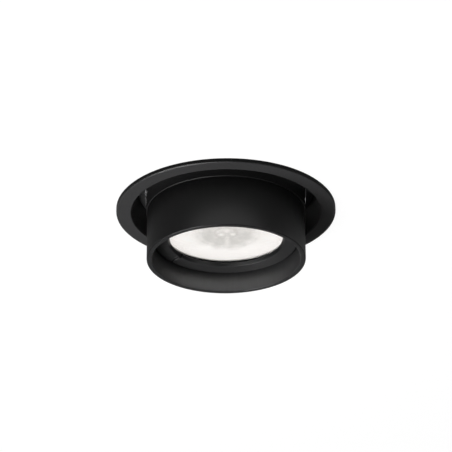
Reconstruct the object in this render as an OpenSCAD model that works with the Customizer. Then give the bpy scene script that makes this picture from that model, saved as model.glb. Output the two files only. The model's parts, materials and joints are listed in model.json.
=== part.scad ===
// Adjustable soffit downlight with a protruding lamp sleeve.
// Z = 0 is the ceiling plane, where the flange's back face meets the board. +Z points up into
// the void above the ceiling. The axis of the cut-out is the Z axis, and the head tilts about X.

/* [Trim] */
// Width of the flange beyond the collar
flange_over = 4.7; // [4.3:0.05:14]
// Thickness of the flange
flange_t = 1.85; // [1.6:0.05:3]
// Bevel round the flange's edge
flange_edge = 0.35; // [0.1:0.05:0.5]
// Gap between the head and the aperture of the swivel plate
aperture_gap = 3.075; // [2.6:0.025:4]
// Depth of the recess, from the flange's face to the swivel plate
recess_h = 9; // [8:0.1:11]
// Slope of the recess wall, which is the head's tilt to one side
recess_angle = 20; // [15:0.5:22]
// Wall of the collar behind the recess's mouth
collar_wall = 1.25; // [1.1:0.05:2]
// Height of the collar's wall above the swivel plate's seat
collar_over_seat = 3.45; // [3.2:0.05:5]
// Width of the sealing ring in the flange's back
gasket_w = 2.2; // [1:0.1:3]
// Thickness of the sealing ring
gasket_t = 0.8; // [0.4:0.1:1.2]
// Gap between the collar and the sealing ring
gasket_inset = 1.3; // [0.8:0.1:1.6]

/* [Swivel] */
// Thickness of the swivel plate
plate_t = 1.8; // [1.2:0.1:2.2]
// Width of the swivel plate's rim
plate_rim = 2.5; // [2.2:0.1:3]
// Radial play of the swivel plate in the collar
swivel_play = 0.1; // [0.05:0.01:0.1]
// Thickness of the wire ring that keeps the swivel plate down
keeper_t = 0.9; // [0.6:0.1:1.1]
// Radial width of the wire ring
keeper_w = 1.5; // [1.2:0.1:1.6]
// Opening between the wire ring's ends
keeper_gap = 4; // [2:0.5:8]
// Height of the tilt axis above the flange's face
pivot_h = 11.5; // [11:0.1:12.2]
// Radius of the pivot screws
pivot_r = 1.5; // [1:0.1:1.8]
// Radius of the pivot screws' heads
pivot_head_r = 2.4; // [2:0.1:3]
// Thickness of the pivot screws' heads
pivot_head_t = 0.8; // [0.5:0.1:1]
// Radius of the swivel plate's ears
ear_r = 5; // [4.2:0.1:5.4]
// Thickness of the ears
ear_t = 1.9; // [1.6:0.1:2]
// Thickness of the friction washers
washer_t = 0.35; // [0.2:0.05:0.4]

/* [Head] */
// Step from the sleeve's side out to the head's side
head_step = 0.35; // [0.2:0.05:0.6]
// Wall of the head
head_wall = 2.7; // [2:0.1:3]
// Height of the head's straight wall above the tilt axis
head_over_pivot = 6.4; // [5.5:0.1:8]
// Height of the head's shoulder
shoulder_h = 6; // [4:0.5:8]
// Step from the head's side in to its neck
neck_step = 5.1; // [4.4:0.1:6]
// Wall of the head's neck
neck_wall = 1.7; // [1.2:0.1:1.9]
// Height of the head's neck
neck_h = 8; // [7:0.5:12]
// Number of cooling slots in the head's shoulder
slots = 14; // [8:2:18]
// Width of a cooling slot
slot_w = 3; // [2:0.2:4]

/* [Sleeve] */
// Gap between the lamp and the sleeve that hangs below the flange
lamp_room = 4.7; // [4.3:0.1:6]
// Length of the sleeve below the flange's face
sleeve_l = 21.1; // [18:0.1:40]
// Wall of the sleeve
sleeve_wall = 2.4; // [2:0.1:3]
// Rounding of the sleeve's rim
rim_r = 0.3; // [0.1:0.05:0.5]
// Flare of the sleeve's bore towards its mouth
mouth_flare = 0.35; // [0:0.05:0.6]
// Height of that flare
flare_h = 3.9; // [2:0.1:5]
// Height of the joint between sleeve and head above the flange's face
seam_h = 0.4; // [0.2:0.1:1]
// Length of the neck that joins the sleeve to the head
spigot_l = 5; // [4:0.5:6]
// Wall of that neck
spigot_wall = 2; // [1.8:0.1:2.4]
// Section radius of the seal between sleeve and head
seal_r = 0.5; // [0.4:0.05:0.6]

/* [Glass] */
// Depth of the retaining ring above the sleeve's rim
ring_depth = 8; // [6:0.1:12]
// Thickness of the retaining ring
ring_t = 2; // [1.6:0.1:2.4]
// Width of the retaining ring
ring_w = 6.8; // [6:0.05:8]
// Bevel round the retaining ring's opening
ring_bevel = 0.7; // [0.4:0.1:0.9]
// Rise of the retaining ring's face towards its opening
ring_dish = 0.5; // [0.2:0.1:0.8]
// Gap between the retaining ring and the sleeve
ring_play = 0.1; // [0.05:0.01:0.1]
// Direction of the retaining ring's slit
slit_angle = 142; // [0:1:360]
// Width of the slit
slit_w = 0.9; // [0.5:0.1:1.5]
// Thickness of the front glass
glass_t = 2; // [1.5:0.1:3]
// Thickness of the seal behind the glass
glass_seal_t = 0.5; // [0.3:0.1:1]
// Thickness of the sleeve's inner shoulder
seat_t = 2; // [1.5:0.1:3]

/* [Lamp] */
// Diameter of the reflector lamp
lamp_d = 50.5; // [48:0.1:50.6]
// Gap between the front glass and the lamp
lamp_gap = 0.8; // [0.5:0.1:2]
// Height of the lamp's straight rim
lamp_rim_h = 7.5; // [6:0.5:10]
// Height of the lamp's finned cone
lamp_cone_h = 30; // [26:0.5:34]
// Diameter at the narrow end of the cone
lamp_back_d = 30; // [26:0.5:34]
// Number of fins on the lamp
lamp_fins = 20; // [12:1:28]
// Thickness of a fin
fin_t = 1.2; // [0.8:0.1:1.6]
// Height of the fins
fin_h = 3; // [2:0.1:4]
// Height of the lamp's base
base_h = 8; // [6:0.5:10]
// Spacing of the lamp's two pins
pin_pitch = 10; // [9.5:0.5:10.5]
// Radius of a pin's neck
pin_r = 1.5; // [1.2:0.1:1.6]
// Radius of a pin's head
pin_head_r = 2.4; // [2.2:0.1:2.5]
// Turn that unlocks the lamp
lamp_turn = 30; // [25:1:35]

/* [Lampholder] */
// Room for the contacts beyond the circle of the pins
contact_room = 3.2; // [2.9:0.1:4]
// Wall of the lampholder beside its contacts
holder_wall = 0.8; // [0.7:0.1:2]
// Length of each end of the lampholder, beyond its contacts
holder_end = 5.8; // [5.2:0.1:8]
// Height of the lampholder
holder_h = 16; // [14:0.5:20]
// Thickness of the lampholder's face over its contacts
holder_face = 3; // [2.5:0.1:3.6]
// Width of the strap that carries the lampholder
strap_w = 14; // [12:0.5:16]
// Thickness of the strap
strap_t = 1.2; // [1:0.1:2]
// Radius of the strap screws
screw_r = 1.25; // [1:0.05:1.4]
// Radius of the strap screws' heads
screw_head_r = 2.3; // [2:0.1:2.5]
// Thickness of the strap screws' heads
screw_head_t = 1.3; // [0.8:0.1:1.5]
// Radius of a lead
lead_r = 1.1; // [0.8:0.1:1.2]
// Radius of the leads' bend
lead_bend = 2.4; // [2:0.1:4]

/* [Terminal box] */
// Length of the terminal box beyond each end of the lampholder
box_over = 8; // [7.5:0.1:12]
// Width of the terminal box beyond the leads
box_side = 4; // [3.6:0.1:6]
// Room in the box's height above and below the gland
gland_room = 0.8; // [0.7:0.1:3]
// Wall of the terminal box
box_wall = 1.6; // [1.2:0.1:2]
// Thickness of the cover
cover_t = 1.6; // [1.2:0.1:2.5]
// Radius of the cable gland's bore
gland_bore_r = 3.4; // [2.5:0.1:3.8]
// Thickness of the gland's hexagon against the box
gland_flange = 2.4; // [2:0.1:4]
// Length of the gland's thread beyond its hexagon
gland_thread = 6; // [5:0.5:9]

/* [Ceiling clips] */
// Radius of the clip pins
clip_pin_r = 0.9; // [0.7:0.05:1]
// Height of the clip pins above the collar's top
clip_pin_h = 2.3; // [2.2:0.1:3.5]
// Distance of the clip pins inside the collar's side
clip_inset = 2.5; // [2.3:0.05:2.7]
// Length of a clip arm from its pin to its tip
arm_l = 30; // [24:0.5:31]
// Width of a clip arm
arm_w = 12; // [10:0.5:12.4]
// Thickness of a clip arm
arm_t = 1.2; // [0.8:0.1:1.4]
// Slope of the arms at rest
arm_droop = 12; // [8:0.5:12]
// Wire of the clip springs
spring_wire = 0.9; // [0.6:0.05:0.9]
// Turns of each clip spring
spring_turns = 4; // [2:1:4]
// Gap between the turns of a clip spring
spring_gap = 0.45; // [0.42:0.01:0.5]

/* [Hidden] */
$fn = 96;

eps = 0.01;
black = [0.07, 0.07, 0.07];
steel = [0.62, 0.63, 0.65];
rubber = [0.12, 0.12, 0.13];
white = [0.93, 0.93, 0.9];

// Radii from the lamp outwards
lamp_r = lamp_d / 2;
sleeve_in = lamp_r + lamp_room;
sleeve_r = sleeve_in + sleeve_wall;
mouth_in = sleeve_in + mouth_flare;
head_r = sleeve_r + head_step;
cone_r = head_r + aperture_gap;
mouth_r = cone_r + recess_h * tan(recess_angle);
collar_r = mouth_r + collar_wall;
flange_r = collar_r + flange_over;

// Levels and radii of the trim
face_z = -flange_t;
seat_z = face_z + recess_h;
collar_top = seat_z + collar_over_seat;
collar_chamfer = 0.4;
plate_r = cone_r + plate_rim;
bore_r = plate_r + swivel_play;
keeper_z = seat_z + plate_t + swivel_play;
groove_deep = 0.6;
keeper_r = bore_r + groove_deep;
groove_r = keeper_r + swivel_play;
keeper_in = keeper_r - keeper_w;
gasket_in = collar_r + gasket_inset;

// Levels and radii of the head
pivot_z = face_z + pivot_h;
head_in = head_r - head_wall;
head_top = pivot_z + head_over_pivot;
neck_r = head_r - neck_step;
neck_in = neck_r - neck_wall;
neck_z = head_top + shoulder_h;
neck_top = neck_z + neck_h;
slot_z0 = head_top + slot_w / 2;
slot_z1 = neck_z + slot_w;
washer_play = 0.03;
washer_x = head_r + washer_play;
ear_x = washer_x + washer_t + washer_play;
ear_out = ear_x + ear_t;
pivot_play = 0.05;
boss_l = 3;
boss_wall = 2;
boss_r = pivot_r + boss_wall;
edge_bevel = 0.25;
inner_drop = 1.2;

// Levels and radii of the sleeve and of what it holds
rim_z = face_z - sleeve_l;
seam_z = face_z + seam_h;
ring_z = rim_z + ring_depth;
glass_z = ring_z + ring_t;
seal_z = glass_z + glass_t;
shoulder_z = seal_z + glass_seal_t;
spigot_lap = 1.2;
spigot_r = head_in + spigot_lap;
spigot_in = spigot_r - spigot_wall;
spigot_top = face_z + spigot_l;
spigot_play = 0.05;
seal_mid = spigot_top - 1 - 1.1 * seal_r;
glass_play = 0.5;
seat_in = lamp_r + glass_play;
glass_r = sleeve_in - glass_play;
ring_r = sleeve_in - ring_play;
ring_in = ring_r - ring_w;
nib_h = 0.7;
ring_edge = 0.2;
nib_l = 2.2;
nib_w = 1.2;
notch_r = 1.2;

// Levels and radii of the lamp
lamp_z = seal_z + lamp_gap;
cone_z = lamp_z + lamp_rim_h;
base_z = cone_z + lamp_cone_h;
pins_z = base_z + base_h;
lamp_back_r = lamp_back_d / 2;
lens_t = 1.6;
lamp_lip = 0.8;
lens_r = lamp_r - lamp_lip;
lens_z = lamp_z + 0.3;
lens_dish_r = 12.3;
lens_dish = 0.5;
lens_boss_r = 4.3;
reflector_z = lens_z + lens_t;
reflector_wall = 0.6;
reflector_h = 19;
led_r = 7.5;
led_t = 1.5;
led_dome = 0.8;
led_z = reflector_z + reflector_h;
base_neck_r = 10.5;
base_step = 2;
pin_neck_l = 4;
pin_head_l = 2.6;

// Levels of the lampholder and of the terminal box
holder_gap = 0.3;
cavity_r = pin_pitch / 2 + contact_room;
holder_w = 2 * (cavity_r + holder_wall);
holder_l = 2 * (cavity_r + holder_end);
holder_z = pins_z + holder_gap;
holder_top = holder_z + holder_h;
strap_x = neck_r + 0.05;
strap_z0 = neck_z + 0.6;
strap_bend = 2;
inner_bend = strap_bend - strap_t / 2;
strap_screw_z = neck_z + neck_h / 2;
cavity_over = 1.4;
cavity_h = pin_neck_l + pin_head_l - holder_face + cavity_over;
slot_r = pin_r + 0.3;
entry_r = pin_head_r + 0.35;
holder_corner = 3;
holder_screw_x = cavity_r + holder_end / 2;
holder_screw_head_r = 2.1;
holder_screw_head_t = 1.3;
sink_r = holder_screw_head_r + 0.2;
sink_h = 2.5;
slot_deep = 0.45;
screw_slot = 0.7;
screw_end = 0.6;
rivet_x = holder_l / 2 + (box_over - box_wall) / 2;
rivet_r = 1.5;
rivet_head_r = 2.2;
rivet_head_t = 1;
rivet_tail_t = 0.8;
lead_x = 3.2;
lead_drop = 6;
lead_sink = 1.8;
lead_tail = 3;
lead_out = 0.6;
lead_z = holder_top - lead_drop;
lead_y = holder_w / 2 + lead_out + lead_bend;
grommet_r = lead_r + 1.1;
grommet_lip_r = grommet_r + 0.7;
grommet_lip = 0.8;
box_l = holder_l + 2 * box_over;
box_w = 2 * (lead_y + box_side);
box_corner = 3;
bush_wall = 1.2;
gland_wall = 1.4;
gland_in = gland_bore_r + bush_wall;
gland_r = gland_in + gland_wall;
gland_hex_over = 2.4;
gland_hex = gland_r + gland_hex_over;
gland_tail = 3;
gland_dome = 1.5;
gland_seat = 1;
nut_gap = 0.2;
nut_shoulder = 1.6;
nut_lip = 0.4;
gland_x = box_l / 2;
gland_end = gland_x + gland_flange + gland_thread;
box_z = holder_top + strap_t;
box_h = 2 * (gland_hex + gland_room);
box_top = box_z + box_h;
gland_z = box_z + box_h / 2;
boss_inset = 4;
cover_screw_x = box_l / 2 - boss_inset;
cover_screw_y = box_w / 2 - boss_inset;
cover_screw_r = 1;
cover_head_r = 2;
cover_head_t = 1;
cover_boss_r = 2.6;
cover_screw_l = 10.4;
rib_pitch = 4;
rib_w = 1.4;
rib_deep = 0.4;
rib_end = 7;
block_l = 24;
block_w = 15;
block_h = 11;
block_pitch = 7.5;
block_shift = 1;
block_screw_r = 1.8;
block_screw_deep = 3;
block_wire_r = 1.6;
block_wire_z = 4.5;
block_slit = 1;
block_slit_deep = 2;

// Places of the ceiling clips
clip_pin_x = collar_r - clip_inset;
clip_z = collar_top + clip_pin_h;
clip_play = 0.05;
eye_wall = 0.85;
eye_r = clip_pin_r + clip_play + eye_wall;
ear_play = 1.3;
ear_gap = arm_w / 2 + ear_play;
ear_w = 2;
ear_wall = 1.2;
pin_end = 0.4;
coil_play = 0.25;
coil_r = clip_pin_r + coil_play + spring_wire / 2;
coil_pitch = spring_wire + spring_gap;
coil_w = (spring_turns + 1) * coil_pitch + spring_wire;
coil_y0 = coil_w / 2 - spring_wire / 2;
coil_y1 = coil_y0 - spring_turns * coil_pitch;
stop_y = coil_y1 - coil_pitch;
leg_l = 5.5;
foot_l = 9;
foot_t = 0.8;
foot_side = 0.7;
arm_end = arm_l - 1.5;
arm_neck = 3.4;
heel_x = 2.4;
heel_t = 1.4;
arm_rib_w = 3;
arm_rib_h = 0.7;
arm_rib_x = 7;
rib_stop = 2;
tab_w = 1.6;
tab_t = 0.9;
tab_over = 0.6;
nose_in = 0.3;

// Ring of rectangular section between two radii
module ring(r_out, r_in, z, h) {
  translate([0, 0, z])
    difference() {
      cylinder(r = r_out, h = h);
      translate([0, 0, -eps]) cylinder(r = r_in, h = h + 2 * eps);
    }
}

// Straight round bar along X
module bar_x(r, x0, x1) {
  translate([x0, 0, 0]) rotate([0, 90, 0]) cylinder(r = r, h = x1 - x0);
}

// Straight round bar along Y, centred
module bar_y(r, l) {
  rotate([90, 0, 0]) cylinder(r = r, h = l, center = true);
}

// The shape given, and the same shape turned half a turn
module both_sides() {
  children();
  rotate([0, 0, 180]) children();
}

// Block with rounded upright edges, standing on z = 0 and centred
module rounded_block(l, w, h, r) {
  translate([0, 0, h / 2]) {
    cube([l - 2 * r, w, h], center = true);
    cube([l, w - 2 * r, h], center = true);
    for (x = [-1, 1], y = [-1, 1])
      translate([x * (l / 2 - r), y * (w / 2 - r), 0]) cylinder(r = r, h = h, center = true);
  }
}

function unit(v) = v / norm(v);
function tangent(p, i) = unit(p[min(i + 1, len(p) - 1)] - p[max(i - 1, 0)]);

// Wire of six sides along a route that lies mostly across Y
module tube(route, r) {
  sides = 6;
  last = len(route) - 1;
  points = [
    for (i = [0 : last])
      let (t = tangent(route, i), a = unit(cross(t, [0, 1, 0])), b = cross(a, t))
      for (k = [0 : sides - 1])
        route[i] + r * (cos(k * 360 / sides) * a + sin(k * 360 / sides) * b)
  ];
  walls = [
    for (i = [0 : last - 1], k = [0 : sides - 1], half = [0, 1])
      let (n = (k + 1) % sides, p = i * sides, q = p + sides)
      half == 0 ? [p + k, p + n, q + n] : [p + k, q + n, q + k]
  ];
  ends = [
    for (k = [1 : sides - 2], end = [0, 1])
      end == 0 ? [0, k + 1, k] : last * sides * [1, 1, 1] + [0, k, k + 1]
  ];
  polyhedron(points = points, faces = concat(walls, ends), convexity = 4);
}

// ---- Trim: flange, recess and collar in one casting, with ears for the two clips

module trim_profile() {
  polygon([
    [mouth_r, face_z], [flange_r - flange_edge, face_z], [flange_r, face_z + flange_edge],
    [flange_r, -flange_edge / 2], [flange_r - flange_edge / 2, 0],
    [gasket_in + gasket_w, 0], [gasket_in + gasket_w, -gasket_t],
    [gasket_in, -gasket_t], [gasket_in, 0], [collar_r, 0],
    [collar_r, collar_top - collar_chamfer], [collar_r - collar_chamfer, collar_top],
    [bore_r, collar_top], [bore_r, keeper_z + keeper_t + swivel_play / 2],
    [groove_r, keeper_z + keeper_t + swivel_play / 2], [groove_r, keeper_z], [bore_r, keeper_z],
    [bore_r, seat_z], [cone_r, seat_z],
  ]);
}

// Ear for a clip pin. Its flat outer side keeps inside the collar's cylinder.
module clip_ear() {
  boss = clip_pin_r + ear_wall;
  side_x = sqrt(pow(collar_r - clip_play, 2) - pow(ear_gap + ear_w, 2));
  intersection() {
    translate([clip_pin_x - boss, ear_gap, collar_top - eps])
      cube([side_x - clip_pin_x + boss, ear_w, clip_pin_h + boss + 1]);
    union() {
      translate([clip_pin_x - boss, ear_gap, collar_top - eps])
        cube([2 * boss, ear_w, clip_pin_h]);
      translate([clip_pin_x, ear_gap + ear_w / 2, clip_z]) bar_y(boss, ear_w);
    }
  }
}

module trim_ring() {
  color(black)
    difference() {
      union() {
        rotate_extrude() trim_profile();
        both_sides() {
          clip_ear();
          mirror([0, 1, 0]) clip_ear();
        }
      }
      both_sides() translate([clip_pin_x, 0, clip_z]) bar_y(clip_pin_r, 2 * (ear_gap + ear_w) + 2);
    }
}

module flange_gasket() {
  color(rubber) ring(gasket_in + gasket_w, gasket_in, -gasket_t, gasket_t);
}

// Split spring ring in the collar's groove. Its nose stops the swivel ring's tab.
module keeper_ring() {
  color(steel)
    difference() {
      union() {
        ring(keeper_r, keeper_in, keeper_z, keeper_t);
        translate([-tab_w / 2, -keeper_in - nose_in, keeper_z])
          cube([tab_w, nose_in + tab_t, keeper_t]);
      }
      rotate([0, 0, 60])
        translate([keeper_in - 1, -keeper_gap / 2, keeper_z - 1])
          cube([keeper_w + 2, keeper_gap, keeper_t + 2]);
    }
}

module clip_pins() {
  color(steel)
    both_sides()
      translate([clip_pin_x, 0, clip_z]) bar_y(clip_pin_r, 2 * (ear_gap + ear_w - pin_end));
}

// ---- Ceiling clips. The right one is drawn with its arm level and then lowered to its slope.

module clip_place() {
  translate([clip_pin_x, 0, clip_z]) rotate([0, arm_droop, 0]) children();
}

module clip_arm() {
  eye_l = (arm_w - coil_w) / 2 - spring_gap;
  heel_z = (clip_pin_h - heel_x * sin(arm_droop) - clip_play) / cos(arm_droop);
  rib_l = arm_l - foot_l - rib_stop - arm_rib_x;
  color(steel)
    clip_place()
      difference() {
        union() {
          for (s = [-1, 1])
            translate([0, s * (arm_w - eye_l) / 2, 0]) {
              bar_y(eye_r, eye_l);
              translate([0, -eye_l / 2, -arm_t / 2]) cube([arm_neck + eps, eye_l, arm_t]);
              translate([heel_x - heel_t, -eye_l / 2, -heel_z]) cube([heel_t, eye_l, heel_z]);
            }
          translate([arm_neck, -arm_w / 2, -arm_t / 2]) cube([arm_end - arm_neck, arm_w, arm_t]);
          translate([arm_end, 0, 0]) bar_y(arm_t / 2, arm_w);
          translate([arm_rib_x, -arm_rib_w / 2, arm_t / 2 - eps])
            cube([rib_l, arm_rib_w, arm_rib_h]);
        }
        bar_y(clip_pin_r + clip_play, arm_w + 1);
      }
}

// Soft boot over the end of the arm
module clip_foot() {
  w = arm_w + 2 * foot_side;
  color(rubber)
    clip_place()
      difference() {
        union() {
          translate([arm_l - foot_l, -w / 2, -arm_t / 2 - foot_t])
            cube([foot_l, w, arm_t + 2 * foot_t]);
          translate([arm_l, 0, 0]) bar_y(arm_t / 2 + foot_t, w);
        }
        translate([arm_l - foot_l - 1, -arm_w / 2, -arm_t / 2])
          cube([foot_l + 1 + arm_end - arm_l, arm_w, arm_t]);
        translate([arm_end, 0, 0]) bar_y(arm_t / 2, arm_w);
      }
}

// Route of the clip spring's wire: along the arm, then round the pin. Angles start at the top
// and run over the side that faces the head.
function coil_point(turn, y) = [-coil_r * sin(turn * 360), y, coil_r * cos(turn * 360)];
spring_route = concat(
  [[leg_l, coil_y0, arm_t / 2 + spring_wire / 2], [leg_l / 2, coil_y0, coil_r * 0.82 + 0.05]],
  [for (i = [0 : 8 * spring_turns]) coil_point(i / 8, coil_y0 - coil_pitch * i / 8)]
);
stop_route = concat(
  [for (i = [0 : 6]) coil_point(i / 8, stop_y)],
  [[coil_r, stop_y, -clip_pin_h / 2], [coil_r, stop_y, -clip_pin_h]]
);
least_gap = min([
  for (i = [0 : len(spring_route) - 8], j = [i + 7 : len(spring_route) - 1])
    norm(spring_route[i] - spring_route[j])
]) - spring_wire;
echo("Least gap between the spring's turns", least_gap);

module clip_spring() {
  color(steel) clip_place() tube(spring_route, spring_wire / 2);
}

// Fixed ends of the clip springs: each comes round the pin and stands on the collar's top
module clip_spring_stops() {
  color(steel)
    both_sides()
      translate([clip_pin_x, 0, clip_z]) tube(stop_route, spring_wire / 2);
}

module clip_arm_right() { clip_arm(); }
module clip_foot_right() { clip_foot(); }
module clip_spring_right() { clip_spring(); }
module clip_arm_left() { rotate([0, 0, 180]) clip_arm(); }
module clip_foot_left() { rotate([0, 0, 180]) clip_foot(); }
module clip_spring_left() { rotate([0, 0, 180]) clip_spring(); }

// ---- Swivel ring: turns in the collar and carries the head between its two ears

module ear() {
  difference() {
    union() {
      translate([ear_x, -ear_r, seat_z]) cube([ear_t, 2 * ear_r, pivot_z - seat_z]);
      translate([0, 0, pivot_z]) bar_x(ear_r, ear_x, ear_out);
    }
    translate([ear_x - 1, -ear_r - 1, seat_z - ear_r]) cube([ear_t + 2, 2 * ear_r + 2, ear_r]);
  }
}

module swivel_ring() {
  color(black)
    difference() {
      union() {
        difference() {
          translate([0, 0, seat_z]) cylinder(r = plate_r, h = plate_t);
          intersection() {
            translate([0, 0, seat_z - 1]) cylinder(r = cone_r, h = plate_t + 2);
            cube([2 * ear_x, 2 * flange_r, 4 * recess_h], center = true);
          }
        }
        both_sides() ear();
        translate([-tab_w / 2, keeper_in - swivel_play - tab_t - 0.1, seat_z + plate_t - eps])
          cube([tab_w, tab_t, keeper_t + tab_over]);
      }
      both_sides()
        translate([0, 0, pivot_z]) {
          bar_x(pivot_r + pivot_play, ear_x - 1, ear_out + 1);
          bar_x(pivot_head_r + 2 * pivot_play, ear_out - pivot_head_t - pivot_play, ear_out + 1);
        }
    }
}

module friction_washers() {
  color(steel)
    both_sides()
      translate([0, 0, pivot_z])
        difference() {
          bar_x(boss_r, washer_x, washer_x + washer_t);
          bar_x(pivot_r + pivot_play, washer_x - 1, washer_x + 1);
        }
}

// ---- Head: a cup with a vented shoulder, and the sleeve that it holds

module head_profile() {
  polygon([
    [spigot_r + spigot_play, seam_z],
    [head_r - edge_bevel, seam_z], [head_r, seam_z + edge_bevel],
    [head_r, head_top], [neck_r, neck_z], [neck_r, neck_top],
    [neck_in, neck_top], [neck_in, neck_z - inner_drop], [head_in, head_top - inner_drop],
    [head_in, spigot_top + spigot_play], [spigot_r + spigot_play, spigot_top + spigot_play],
  ]);
}

module cooling_slot() {
  x0 = neck_in - neck_step;
  translate([x0, -slot_w / 2, slot_z0 + slot_w / 2])
    cube([head_r + 1 - x0, slot_w, slot_z1 - slot_z0 - slot_w]);
  for (z = [slot_z0 + slot_w / 2, slot_z1 - slot_w / 2])
    translate([0, 0, z]) bar_x(slot_w / 2, x0, head_r + 1);
}

module head_body() {
  color(black)
    difference() {
      union() {
        rotate_extrude() head_profile();
        both_sides()
          intersection() {
            translate([0, 0, pivot_z]) bar_x(boss_r, head_in - boss_l, head_in + 1);
            translate([0, 0, spigot_top]) cylinder(r = head_in + 1, h = head_top - spigot_top);
          }
      }
      for (i = [0 : slots - 1])
        rotate([0, 0, (i + 0.5) * 360 / slots]) cooling_slot();
      both_sides() {
        translate([0, 0, pivot_z]) bar_x(pivot_r, head_in - boss_l - 1, head_r + 1);
        translate([0, 0, strap_screw_z]) bar_x(screw_r, neck_in - 1, neck_r + 1);
      }
    }
}

module pivot_screws() {
  color(steel)
    both_sides()
      translate([0, 0, pivot_z]) {
        difference() {
          bar_x(pivot_head_r, ear_out - pivot_head_t, ear_out);
          translate([ear_out, 0, 0])
            cube([2 * slot_deep, 1.4 * pivot_head_r, screw_slot], center = true);
        }
        bar_x(pivot_r, head_in - boss_l + screw_end, ear_out - pivot_head_t + eps);
      }
}

module sleeve_profile() {
  polygon([
    [mouth_in + rim_r, rim_z], [sleeve_r - rim_r, rim_z], [sleeve_r, rim_z + rim_r],
    [sleeve_r, seam_z], [spigot_r, seam_z], [spigot_r, seal_mid - 1.1 * seal_r],
    [spigot_r - seal_r, seal_mid - 1.1 * seal_r], [spigot_r - seal_r, seal_mid + 1.1 * seal_r],
    [spigot_r, seal_mid + 1.1 * seal_r], [spigot_r, spigot_top], [spigot_in, spigot_top],
    [spigot_in, shoulder_z + seat_t], [seat_in, shoulder_z + seat_t], [seat_in, shoulder_z],
    [sleeve_in, shoulder_z], [sleeve_in, rim_z + flare_h], [mouth_in, rim_z + rim_r],
  ]);
}

module front_sleeve() {
  color(black) rotate_extrude() sleeve_profile();
}

// Seal in the spigot's groove
module sleeve_seal() {
  color(rubber)
    translate([0, 0, seal_mid])
      rotate_extrude() translate([spigot_r - seal_r / 2 + spigot_play / 2, 0])
        circle(r = seal_r / 2 + spigot_play / 2, $fn = 24);
}

module front_glass() {
  color([0.8, 0.85, 0.85, 0.4]) translate([0, 0, glass_z]) cylinder(r = glass_r, h = glass_t);
}

module glass_gasket() {
  color(rubber) ring(glass_r, seat_in + glass_play, seal_z, glass_seal_t);
}

// Split ring that springs against the sleeve's wall and holds the glass up, with a nib for a
// fingernail beside its slit
module retaining_ring() {
  color(black)
    difference() {
      union() {
        rotate_extrude()
          polygon([
            [ring_in + ring_bevel, ring_z + ring_dish], [ring_r, ring_z],
            [ring_r, glass_z], [ring_in, glass_z], [ring_in, glass_z - ring_edge],
          ]);
        rotate([0, 0, slit_angle])
          translate([ring_in + ring_bevel + 0.3, slit_w / 2, ring_z - nib_h])
            cube([nib_l, nib_w, nib_h + ring_dish]);
      }
      rotate([0, 0, slit_angle]) {
        translate([0, -slit_w / 2, ring_z - 1]) cube([ring_r + 1, slit_w, ring_t + 2]);
        translate([ring_r, 0, ring_z - 1]) cylinder(r = notch_r, h = ring_t + 2, $fn = 24);
      }
    }
}

// ---- Lamp: a reflector lamp with a finned shell and a two-pin twist base

module lamp_cone(inset) {
  polygon([
    [0, cone_z], [lamp_r - inset, cone_z], [lamp_back_r - inset, base_z], [0, base_z],
  ]);
}

module lamp_shell() {
  color(white)
    difference() {
      union() {
        rotate_extrude()
          polygon([
            [0, lamp_z], [lamp_r, lamp_z], [lamp_r, cone_z], [lamp_r - fin_h, cone_z],
            [lamp_back_r - fin_h, base_z], [0, base_z],
          ]);
        intersection() {
          rotate_extrude() lamp_cone(edge_bevel);
          for (i = [0 : lamp_fins - 1])
            rotate([0, 0, i * 360 / lamp_fins])
              translate([0, -fin_t / 2, cone_z]) cube([lamp_r, fin_t, lamp_cone_h]);
        }
      }
      rotate_extrude()
        polygon([
          [0, lamp_z - 1], [lens_r, lamp_z - 1], [lens_r, reflector_z],
          [led_r + 2 * reflector_wall, led_z], [led_r + 3 * reflector_wall, led_z],
          [led_r + 3 * reflector_wall, led_z + 2 * led_t], [led_r - 1, led_z + 2 * led_t],
          [led_r - 1, base_z + 1], [0, base_z + 1],
        ]);
    }
}

// Lens with a shallow dish in its front and a boss at its centre
module lamp_lens() {
  color([0.95, 0.95, 0.92, 0.6])
    rotate_extrude()
      polygon([
        [0, lens_z], [lens_boss_r, lens_z], [lens_boss_r, lens_z + lens_dish],
        [lens_dish_r - lens_dish, lens_z + lens_dish], [lens_dish_r, lens_z],
        [lens_r, lens_z], [lens_r, reflector_z], [0, reflector_z],
      ]);
}

// Cone that throws the light forward
module lamp_reflector() {
  color([0.9, 0.9, 0.9])
    translate([0, 0, reflector_z])
      difference() {
        cylinder(r1 = lens_r - reflector_wall, r2 = led_r + reflector_wall, h = reflector_h);
        translate([0, 0, -eps])
          cylinder(r1 = lens_r - 2 * reflector_wall, r2 = led_r, h = reflector_h + 2 * eps);
      }
}

module led_module() {
  color([0.95, 0.85, 0.45])
    translate([0, 0, led_z]) {
      cylinder(r = led_r + 2 * reflector_wall, h = led_t);
      translate([0, 0, -led_dome]) cylinder(r = led_r * 0.6, h = led_dome + eps);
    }
}

module lamp_base() {
  color(white)
    difference() {
      rotate_extrude()
        polygon([
          [0, base_z], [lamp_back_r - base_step, base_z],
          [lamp_back_r - base_step, base_z + base_step], [base_neck_r, base_z + 2 * base_step],
          [base_neck_r, pins_z - lamp_lip], [base_neck_r - lamp_lip, pins_z], [0, pins_z],
        ]);
      both_sides() translate([0, pin_pitch / 2, base_z + base_step]) cylinder(r = pin_r, h = base_h);
    }
}

module lamp_pins() {
  color(steel)
    both_sides()
      translate([0, pin_pitch / 2, 0]) {
        translate([0, 0, base_z + base_step])
          cylinder(r = pin_r, h = base_h - base_step + pin_neck_l + eps);
        translate([0, 0, pins_z + pin_neck_l]) cylinder(r = pin_head_r, h = pin_head_l);
      }
}

// ---- Lampholder, its strap and its leads

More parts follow.
